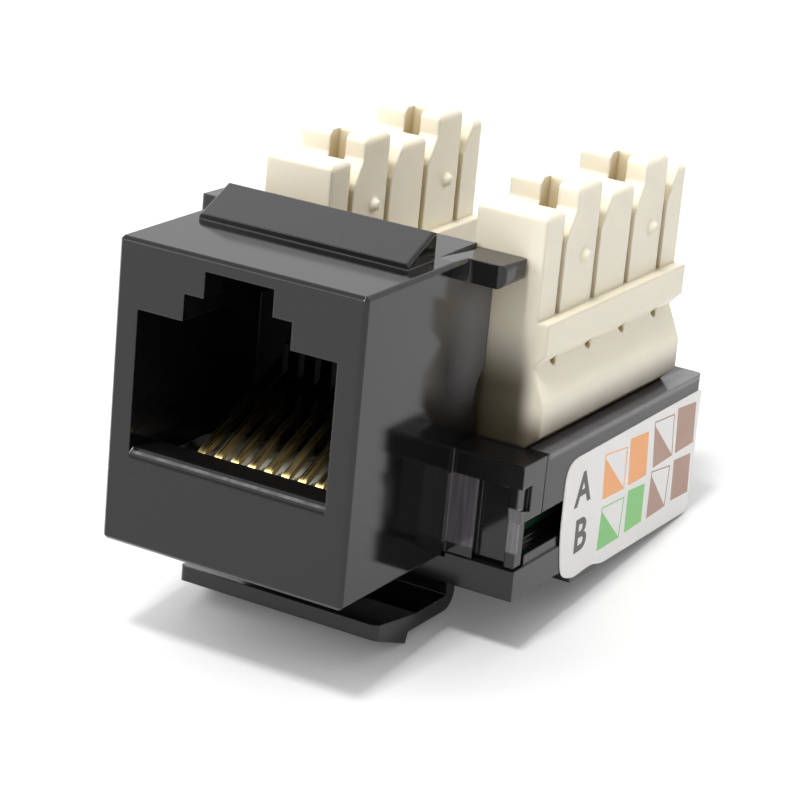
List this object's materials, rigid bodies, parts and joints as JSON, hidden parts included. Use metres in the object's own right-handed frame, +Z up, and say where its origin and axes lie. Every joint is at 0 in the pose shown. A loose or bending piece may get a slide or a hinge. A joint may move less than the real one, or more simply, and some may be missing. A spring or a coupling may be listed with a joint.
{
  "type": "keystone jack",
  "caption": "Snap-in modular socket with a keyed plug port in front, springing contacts, a latch arm below and toothed insulation displacement wire blocks behind.",
  "frame": {"origin": "middle of the lower front edge of the front block, which fits the plate's opening", "axes": "+Y from the plug face to the rear, +Z up from the latch arm to the fixed catch, +X to the right seen from the front, the label's side"},
  "size_m": [0.0207, 0.0316, 0.0242],
  "materials": {
    "housing_black": "moulded, semi-gloss",
    "block_ivory": "moulded, satin",
    "carrier_ivory": "moulded, satin",
    "board_green": "solder mask over glass fibre",
    "contact_gold": "gold plated",
    "clip_metal": "tin plated bronze",
    "label_white": "printed film"
  },
  "bodies": {
    "jack": {"jack_housing": "housing_black", "rear_frame": "housing_black", "bottom_cover": "housing_black", "contact_carrier": "carrier_ivory", "circuit_board": "board_green", "contact_tails": "contact_gold", "wire_block_left": "block_ivory", "wire_block_right": "block_ivory", "wire_clip_left_1": "clip_metal", "wire_clip_left_2": "clip_metal", "wire_clip_left_3": "clip_metal", "wire_clip_left_4": "clip_metal", "wire_clip_right_1": "clip_metal", "wire_clip_right_2": "clip_metal", "wire_clip_right_3": "clip_metal", "wire_clip_right_4": "clip_metal", "wiring_label": "label_white"},
    "latch": {"latch_arm": "housing_black"},
    "beam_1": {"contact_1": "contact_gold"},
    "beam_2": {"contact_2": "contact_gold"},
    "beam_3": {"contact_3": "contact_gold"},
    "beam_4": {"contact_4": "contact_gold"},
    "beam_5": {"contact_5": "contact_gold"},
    "beam_6": {"contact_6": "contact_gold"},
    "beam_7": {"contact_7": "contact_gold"},
    "beam_8": {"contact_8": "contact_gold"}
  },
  "joints": [
    {"name": "latch_flex", "type": "hinge", "parent": "jack", "child": "latch", "pos_m": [0, 0.01353, -0.00194], "axis": [-1, 0, 0], "range_deg": [0, 12], "stiffness_Nm_per_rad": 0.4},
    {"name": "contact_flex_1", "type": "hinge", "parent": "jack", "child": "beam_1", "pos_m": [-0.00356, 0.00378, 0.00432], "axis": [-1, 0, 0], "range_deg": [0, 10], "stiffness_Nm_per_rad": 0.03},
    {"name": "contact_flex_2", "type": "hinge", "parent": "jack", "child": "beam_2", "pos_m": [-0.00254, 0.00378, 0.00432], "axis": [-1, 0, 0], "range_deg": [0, 10], "stiffness_Nm_per_rad": 0.03},
    {"name": "contact_flex_3", "type": "hinge", "parent": "jack", "child": "beam_3", "pos_m": [-0.00152, 0.00378, 0.00432], "axis": [-1, 0, 0], "range_deg": [0, 10], "stiffness_Nm_per_rad": 0.03},
    {"name": "contact_flex_4", "type": "hinge", "parent": "jack", "child": "beam_4", "pos_m": [-0.00051, 0.00378, 0.00432], "axis": [-1, 0, 0], "range_deg": [0, 10], "stiffness_Nm_per_rad": 0.03},
    {"name": "contact_flex_5", "type": "hinge", "parent": "jack", "child": "beam_5", "pos_m": [0.00051, 0.00378, 0.00432], "axis": [-1, 0, 0], "range_deg": [0, 10], "stiffness_Nm_per_rad": 0.03},
    {"name": "contact_flex_6", "type": "hinge", "parent": "jack", "child": "beam_6", "pos_m": [0.00152, 0.00378, 0.00432], "axis": [-1, 0, 0], "range_deg": [0, 10], "stiffness_Nm_per_rad": 0.03},
    {"name": "contact_flex_7", "type": "hinge", "parent": "jack", "child": "beam_7", "pos_m": [0.00254, 0.00378, 0.00432], "axis": [-1, 0, 0], "range_deg": [0, 10], "stiffness_Nm_per_rad": 0.03},
    {"name": "contact_flex_8", "type": "hinge", "parent": "jack", "child": "beam_8", "pos_m": [0.00356, 0.00378, 0.00432], "axis": [-1, 0, 0], "range_deg": [0, 10], "stiffness_Nm_per_rad": 0.03}
  ]
}
